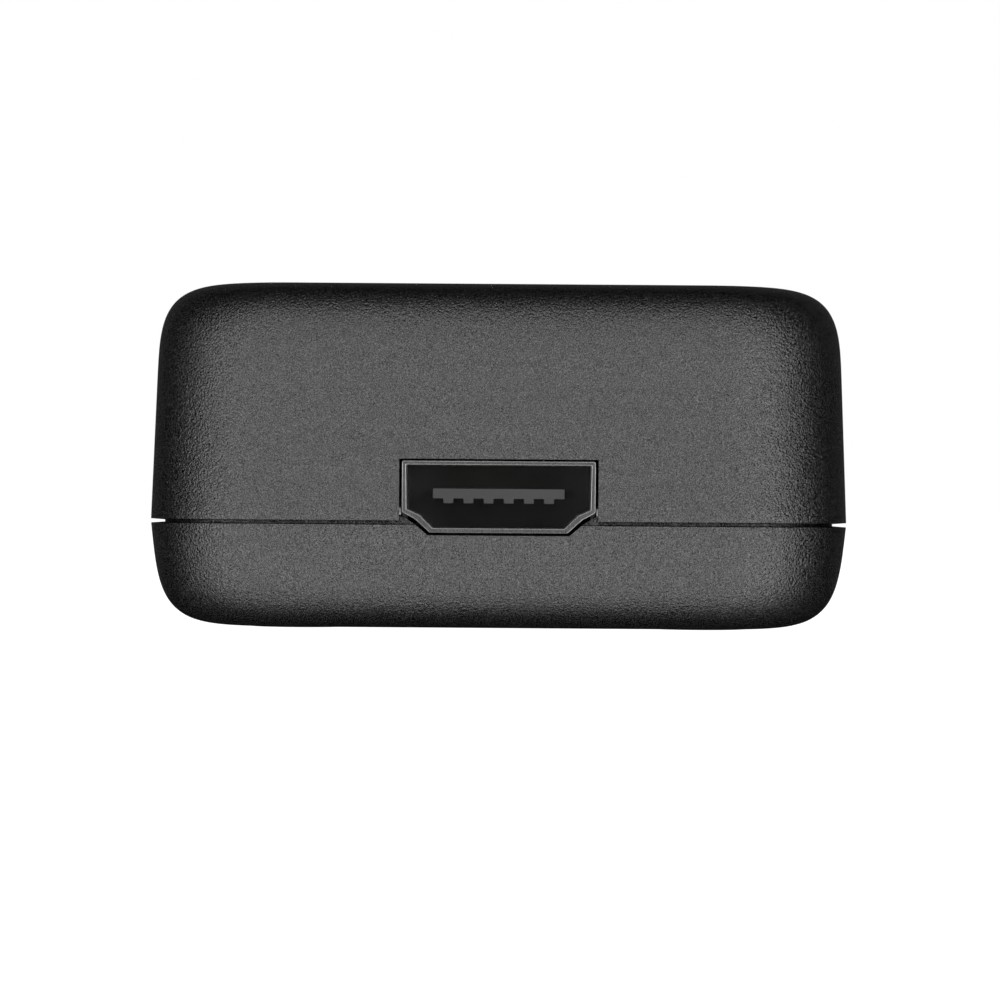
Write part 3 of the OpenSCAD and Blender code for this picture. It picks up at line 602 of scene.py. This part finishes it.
def bottom_shell():
    mouth = SEAM_Z - GROOVE_HALF
    outer = [(0.07, mouth + 0.003), (0.04, mouth), (0.025, mouth - 0.012), (0.02, mouth - 0.035)]
    outer += [(lower_inset(z), z) for z in LOWER_LEVELS]
    for k in range(1, EDGE_STEPS + 1):
        inset, above = quarter(LOWER_EDGE, k / EDGE_STEPS)
        z = BASE_Z + above
        if z < 6.6:
            outer.append((inset + LOWER_DRAFT * (SEAM_Z - z), z))
    lip = [(WALL, 8.0), (WALL - 0.1, LIP_TOP), (1.3, LIP_TOP), (1.2, LIP_TOP - 0.03)]
    lip += [(1.145, LIP_TOP - 0.15), (1.09, 8.42), (1.07, 8.41)]
    inner = []
    floor = BASE_Z + WALL
    for k in range(1, CAVITY_STEPS, 2):
        inset, above = quarter(LOWER_EDGE, k / CAVITY_STEPS)
        z = floor + above
        if z < 7.4:
            inner.insert(0, (WALL + inset + LOWER_DRAFT * (SEAM_Z - z + WALL), z))
    shell = to_object("bottom_shell_skin", stack([ring(*p) for p in inner + lip + outer]))
    bosses = [upright(circle(x, y, LOWER_BOSS_R), 1.0, 6.0) for x, y in SCREWS]
    bosses += [upright(circle(x, y, BOARD_BOSS_R), 1.0, 6.0) for x, y in BOARD_SCREWS]
    carve(shell, bosses, "UNION")
    socket = fillet(both_halves(HDMI_CUT), 0.08, 3)
    holes = [end_hole(socket, -END_Y - 2, -END_Y + 5)] + rear_cutters()
    for x in (BUTTON_X, LIGHT_X):
        holes.append(end_hole(rectangle(x - 2.9, 8.8, x + 2.9, 12.8), END_Y - 6, END_Y + 2))
    for x, y in SCREWS:
        holes.append(
            flared(lambda wider: circle(x, y, FOOT_R + wider), BASE_Z, 0.8 - BASE_Z, FOOT_FLARE)
        )
        holes.append(upright(circle(x, y, SCREW_HEAD_R), 0.5, 3.2))
        holes.append(upright(circle(x, y, SCREW_R), 3.0, 12))
    holes += [upright(circle(x, y, BOARD_BORE_R), 2.5, 12) for x, y in BOARD_SCREWS]
    for row in VENT_ROWS:
        for i in range(VENTS_IN_ROW):
            x = (i - (VENTS_IN_ROW - 1) / 2) * VENT_PITCH
            holes.append(
                flared(
                    lambda wider: stadium_xy(x, row, VENT_W + 2 * wider, VENT_L + 2 * wider),
                    BASE_Z, WALL + 2, VENT_FLARE,
                )
            )
    holes.append(
        flared(
            lambda wider: fillet(grow(rectangle(*LABEL_BOX), wider), LABEL_CORNER + wider),
            BASE_Z, LABEL_DEPTH, LABEL_FLARE,
        )
    )
    for hole in holes:
        carve(shell, [hole])
    soften(shell, lambda x, y, z: abs(y) > CUT_EDGE_Y and z < 8.2, CUT_EDGE)
    finish_piece(shell, case_plastic, "bottom_shell")
    smooth_skin(shell.data)


def stadium_xy(cx, cy, w, length):
    box = rectangle(cx - w / 2, cy - length / 2, cx + w / 2, cy + length / 2)
    return fillet(box, w / 2 - 0.001, 8)


# ---------------------------------------------------------------- HDMI socket
SOCKET_BACK_Y = SOCKET_MOUTH_Y + 11.5
SOCKET_BEND_OUT, SOCKET_BEND_IN = 0.15, 0.07
SOCKET_EDGE = 0.08
FINGER_X, FINGER_HALF, FINGER_SLIT = 3.4, 0.9, 0.12
LEG_X, LEG_HALF, LEG_LOW = 7.35, 0.15, 7.6
TAB_X, TAB_HALF, TAB_LOW, TAB_TOP = 7.62, 0.055, HDMI_Z - 1.42, HDMI_Z - 0.87
TONGUE_HALF, TONGUE_TOP, TONGUE_LOW, TOOTH_LOW = 5.1, 0.6, -0.14, -0.51
TOOTH_COUNT, TOOTH_W, TOOTH_PITCH = 6, 0.77, 1.56
TONGUE_LIP = 0.035


def hdmi_sleeve():
    mouth, back, edge = SOCKET_MOUTH_Y, SOCKET_BACK_Y, SOCKET_EDGE
    outer, inner = both_halves(HDMI_OUTER), both_halves(HDMI_INNER)
    turns = [math.pi / 2 * k / 4 for k in range(5)]

    def outer_ring(y, shrink):
        return along_y(fillet(grow(outer, -shrink), SOCKET_BEND_OUT), y)

    def inner_ring(y, spread):
        return along_y(fillet(grow(inner, spread), SOCKET_BEND_IN), y)

    rings = [outer_ring(back, 0), outer_ring(mouth + 1.3 * edge, 0)]
    rings += [outer_ring(mouth + edge * (1 - math.sin(t)), edge * (1 - math.cos(t))) for t in turns]
    rings += [outer_ring(mouth, 1.2 * edge), inner_ring(mouth, 1.2 * edge)]
    rings += [inner_ring(mouth + edge * (1 - math.cos(t)), edge * (1 - math.sin(t))) for t in turns]
    rings += [inner_ring(mouth + 1.3 * edge, 0), inner_ring(back - 0.35, 0)]
    shell = to_object("hdmi_sleeve", stack(rings))
    slits = []
    roof, above = HDMI_Z + 2, HDMI_Z + 4
    for x in (-FINGER_X, FINGER_X):
        for at in (x - FINGER_HALF, x + FINGER_HALF):
            side_slit = rectangle(at - FINGER_SLIT, roof, at + FINGER_SLIT, above)
            slits.append(end_hole(side_slit, mouth + 2.6, mouth + 7.6))
        slits.append(end_hole(rectangle(x - 1, roof, x + 1, above), mouth + 7.4, mouth + 7.64))
    slits.append(end_hole(rectangle(-5, HDMI_Z - 4, 5, HDMI_Z - 2.1), back - 2, back + 2))
    for slit in slits:
        carve(shell, [slit])
    legs = []
    for x in (-LEG_X, LEG_X):
        for y in (mouth + 4.2, mouth + 9.2):
            leg = rectangle(x - LEG_HALF, LEG_LOW, x + LEG_HALF, HDMI_Z - 1.2)
            legs.append(end_hole(leg, y, y + 1.4))
    carve(shell, legs, "UNION")
    finish_piece(shell, sleeve_metal, "hdmi_shell")
    # Faces that look out of the mouth take the darker copy of the sleeve metal: painted shade
    shell.data.materials.append(rim_painted_shade_metal)
    for polygon in shell.data.polygons:
        if polygon.normal.y < -0.95 and polygon.center.y < (mouth + 0.02) * MM:
            polygon.material_index = 1


def hdmi_earthing_tabs():
    """Two small leaves that stand between the sleeve and the window, and taper backwards."""
    mouth = SOCKET_MOUTH_Y
    tabs = bmesh.new()
    for s in (-1, 1):
        x = s * TAB_X
        tip = fillet(rectangle(x - TAB_HALF, TAB_LOW, x + TAB_HALF, TAB_TOP), 0.04, 3)
        root = [(x - s * 0.12, z + 0.4 * (TAB_TOP - z)) for x, z in tip]
        front = [along_y(tip, mouth + 0.35), along_y(tip, mouth + 0.8)]
        leaf = stack(front + [along_y(root, mouth + 2.5)])
        copy = bpy.data.meshes.new("part")
        leaf.to_mesh(copy)
        tabs.from_mesh(copy)
        leaf.free()
        bpy.data.meshes.remove(copy)
    finish_piece(to_object("hdmi_earthing_tabs", tabs), bright_tab)


def hdmi_tongue():
    """One slab with a comb of short teeth along its lower front edge, and the block behind it."""
    mouth, front = SOCKET_MOUTH_Y, SOCKET_MOUTH_Y + 0.9
    half, top, low = TONGUE_HALF, TONGUE_TOP, TONGUE_LOW
    comb = []
    for i in range(TOOTH_COUNT):
        at = (i - (TOOTH_COUNT - 1) / 2) * TOOTH_PITCH
        x0, x1 = at - TOOTH_W / 2, at + TOOTH_W / 2
        comb += [(x0, low), (x0, TOOTH_LOW), (x1, TOOTH_LOW), (x1, low)]
    lip = top + TONGUE_LIP
    outline = [(-half, lip), (-half, low)] + comb + [(half, low), (half, lip)]
    outline = [(x, z + HDMI_Z) for x, z in outline]
    small = fillet(grow(outline, -0.03), 0.06, 2)
    full = fillet(outline, 0.06, 2)
    teeth = stack([along_y(small, front), along_y(full, front + 0.03), along_y(full, front + 1.3)])
    tongue = to_object("hdmi_tongue", teeth)
    corners = [(-half, low), (-half, top), (half, top), (half, low)]
    slab = fillet([(x, z + HDMI_Z) for x, z in corners], 0.05, 2)
    carve(tongue, [end_hole(slab, front + 1.0, mouth + 8.3)], "UNION")
    finish_piece(tongue, connector_grey, "hdmi_housing")
    block_outline = fillet(grow(both_halves(HDMI_INNER), -0.01), SOCKET_BEND_IN)
    block = to_object("hdmi_floor", end_hole(block_outline, mouth + 8.2, mouth + 10.3))
    finish_piece(block, connector_deep)


top_shell()
bottom_shell()
hdmi_sleeve()
hdmi_earthing_tabs()
hdmi_tongue()

# ---------------------------------------------------------------- finishes of carried-over nodes
# Each node's material, and the width of its edge rounding in millimetres
finishes = {
    "rubber_feet": (rubber, 0.12),
    "case_screws": (zinc, 0.05),
    "base_label": (label_material, 0.02),
    "main_board": (laminate, 0.05),
    "board_screws": (zinc, 0.05),
    "hdmi_contacts_upper": (gold, 0.02),
    "hdmi_contacts_lower": (gold, 0.02),
    "lan_shield": (nickel, 0.06),
    "lan_housing": (connector_black, 0.08),
    "lan_contacts": (gold, 0.05),
    "lan_light_pipes": (clear_guide, 0.08),
    "usb_c_shell": (nickel, 0.05),
    "usb_c_housing": (connector_black, 0.05),
    "usb_c_contacts": (gold, 0.01),
    "pairing_button": (button_plastic, 0.1),
    "switch_plunger": (plunger_red, 0.05),
    "switch_frame": (connector_black, 0.06),
    "switch_cover": (nickel, 0.04),
    "status_light_pipe": (clear_guide, 0.08),
    "status_led": (phosphor, 0.04),
    "processor": (epoxy, 0.05),
    "thermal_pad": (gap_filler, 0.05),
    "heat_sink": (extrusion, 0.06),
    "heat_sink_pins": (nylon, 0.06),
    "heat_sink_springs": (spring_wire, 0),
    "memory_chips": (epoxy, 0.05),
    "storage_chip": (epoxy, 0.05),
    "wifi_module": (laminate, 0.04),
    "wifi_shield": (tinned, 0.06),
    "antenna_left": (tinned, 0.04),
    "antenna_right": (tinned, 0.04),
    "ethernet_chip": (epoxy, 0.04),
    "ethernet_transformer": (epoxy, 0.05),
    "power_chip": (epoxy, 0.04),
    "power_inductors": (ferrite, 0.05),
    "bulk_capacitors": (bare_can, 0.08),
    "bulk_capacitor_bases": (connector_black, 0.06),
    "ceramic_capacitors": (ceramic_material, 0.03),
    "crystals": (bare_can, 0.04),
    "surge_protectors": (epoxy, 0.03),
}
for name, (material, bevel) in finishes.items():
    obj = nodes[name]
    obj.data.materials.clear()
    obj.data.materials.append(material)
    if bevel:
        modifier = obj.modifiers.new("edge", "BEVEL")
        modifier.width = bevel * MM
        modifier.segments = 2
        modifier.limit_method = "ANGLE"
        modifier.angle_limit = math.radians(35)

# ---------------------------------------------------------------- stage and light
FLOOR_SIZE = 6
SHADE_MIDDLE = (0, 0.022, 0)
SHADE_HALF = (0.017, 0.02, 1)
SHADE_REACH = 0.011
AIM_Z = 0.012
WASH_SPREAD = 14
WASH_DISTANCE = 0.05
WASH_Y, WASH_LENGTH = 0.0065, 0.063
WASH_W, WASH_HEIGHT = 0.055, 0.027


def under_shade(paint):
    """Full glow, but for a soft shade under the body that reaches out behind it."""
    from_middle = paint.vector("ABSOLUTE", paint.vector("SUBTRACT", paint.coords, SHADE_MIDDLE))
    beyond = paint.vector("MAXIMUM", paint.vector("SUBTRACT", from_middle, SHADE_HALF), (0, 0, 0))
    reach = paint.math("DIVIDE", paint.vector("LENGTH", beyond), SHADE_REACH)
    return paint.ramp(reach, (0.0, 0.3), (0.35, 0.55), (0.7, 0.88), (1.0, 1.02))


def stage_plane(name, size, diffuse, glowing=False):
    bm = bmesh.new()
    bmesh.ops.create_grid(bm, x_segments=2, y_segments=2, size=size)
    plane = to_object(name, bm)
    paint = Painter(name + "_paint", Specular_IOR_Level=0.0, Roughness=1.0)
    speck = paint.noise(30, detail=1.0)
    paint.colour(paint.ramp(speck, (0.0, diffuse * 0.99), (1.0, diffuse)))
    if glowing:
        paint.shader.inputs["Emission Strength"].default_value = 1
        paint.feed(paint.shader, "Emission Color", under_shade(paint))
    plane.data.materials.append(paint.material)
    return plane


seen_floor = stage_plane("floor", FLOOR_SIZE, 0.35, glowing=True)
seen_floor.visible_diffuse = False
seen_floor.visible_glossy = False
seen_floor.visible_transmission = False
seen_floor.visible_shadow = False
lit_floor = stage_plane("floor_bounce", FLOOR_SIZE, 0.8)
lit_floor.visible_camera = False
lit_floor.visible_glossy = False
lit_floor.visible_shadow = False

world = bpy.data.worlds.new("studio")
bpy.context.scene.world = world
world.use_nodes = True
world.node_tree.nodes["Background"].inputs["Color"].default_value = (1, 1, 1, 1)
world.cycles_visibility.diffuse = False
world.cycles_visibility.glossy = False
world.cycles_visibility.transmission = False


def gathered(name, objects):
    collection = bpy.data.collections.new(name)
    for obj in objects:
        collection.objects.link(obj)
    return collection


def area_light(name, place, facing, width, height, energy):
    """A rectangle at place that shines against the direction facing."""
    data = bpy.data.lights.new(name, "AREA")
    data.shape = "RECTANGLE"
    data.size, data.size_y = width, height
    data.energy = energy
    light = bpy.data.objects.new(name, data)
    light.location = place
    light.rotation_euler = facing.to_track_quat("Z", "Y").to_euler()
    light.visible_camera = False
    bpy.context.collection.objects.link(light)
    return light


def softbox(
    name, azimuth, elevation, distance, width, height, radiance, glossy=True, only=None
):
    """A soft rectangle that faces the object; azimuth 0 is on the socket's side."""
    a, e = math.radians(azimuth), math.radians(elevation)
    toward = Vector((math.sin(a) * math.cos(e), -math.cos(a) * math.cos(e), math.sin(e))) * distance
    energy = radiance * math.pi * width * height
    light = area_light(name, toward + Vector((0, 0, AIM_Z)), toward, width, height, energy)
    light.visible_glossy = glossy
    if only:
        light.light_linking.receiver_collection = only


def wash(name, middle, outward, width, height, irradiance):
    """A broad, nearly parallel beam that lights one flat side of the case and no other."""
    outward = Vector(outward)
    place = Vector(middle) + outward * WASH_DISTANCE
    light = area_light(name, place, outward, width, height, irradiance * width * height)
    light.data.spread = math.radians(WASH_SPREAD)
    light.visible_glossy = False


SHELL_NAMES = ("top_shell_skin", "bottom_shell_skin")
REAR_NAMES = (
    "lan_shield", "lan_housing", "lan_contacts", "lan_light_pipes", "usb_c_shell",
    "usb_c_housing", "usb_c_contacts", "pairing_button", "status_light_pipe",
)
shells = gathered("lit_shells", [bpy.data.objects[name] for name in SHELL_NAMES])
rear_fittings = gathered("lit_rear_fittings", [nodes[name] for name in REAR_NAMES])

# Name, azimuth, elevation, distance, width, height, radiance
SOFTBOXES = (
    ("front", 0, 0, 1.6, 0.9, 0.8, 0.22),
    ("front_left", -41, -5, 1.5, 1.0, 1.0, 1.95),
    ("front_right", 36, -5, 1.5, 0.85, 1.0, 2.35),
    ("wide_left", -71, -5, 1.5, 0.5, 1.0, 0.3),
    ("wide_right", 66, -5, 1.5, 0.5, 1.0, 0.15),
    ("front_high", 0, 33, 1.5, 1.2, 0.8, 1.08),
    ("high_left", -36, 34, 1.5, 0.55, 0.6, 1.1),
    ("high_right", 32, 34, 1.5, 0.55, 0.6, 1.1),
    ("high", 0, 68, 1.5, 1.0, 0.5, 0.2),
    ("front_low", 0, -37, 1.5, 0.9, 0.85, 0.38),
    ("low_left", -42, -38, 1.5, 0.8, 0.7, 1.75),
    ("low_right", 38, -38, 1.5, 0.8, 0.7, 2.1),
    ("low", 0, -63, 1.5, 1.0, 0.6, 0.75),
    ("rear", 180, 10, 1.7, 2.2, 1.1, 0.05),
)
for settings in SOFTBOXES:
    softbox(*settings)
softbox("rear_fill", 180, 30, 1.8, 2.4, 1.2, 0.9, glossy=False)
softbox("rear_shell_fill", 180, 10, 1.8, 1.4, 1.2, 14.0, glossy=False, only=shells)
softbox("rear_fitting_gloss", 180, -2, 1.5, 3.8, 1.8, 1.2, only=rear_fittings)
for side in (-100, 100):
    softbox("side_fill", side, 35, 1.7, 1.2, 1.2, 0.5, glossy=False)

wash("top_wash", (0, WASH_Y, WASH_HEIGHT), (0, 0, 1), WASH_W, WASH_LENGTH, 6.0)
for side in (-1, 1):
    middle = (side * WASH_W / 2, WASH_Y, WASH_HEIGHT / 2)
    wash("side_wash", middle, (side, 0, 0), WASH_LENGTH, WASH_HEIGHT, 5.0)
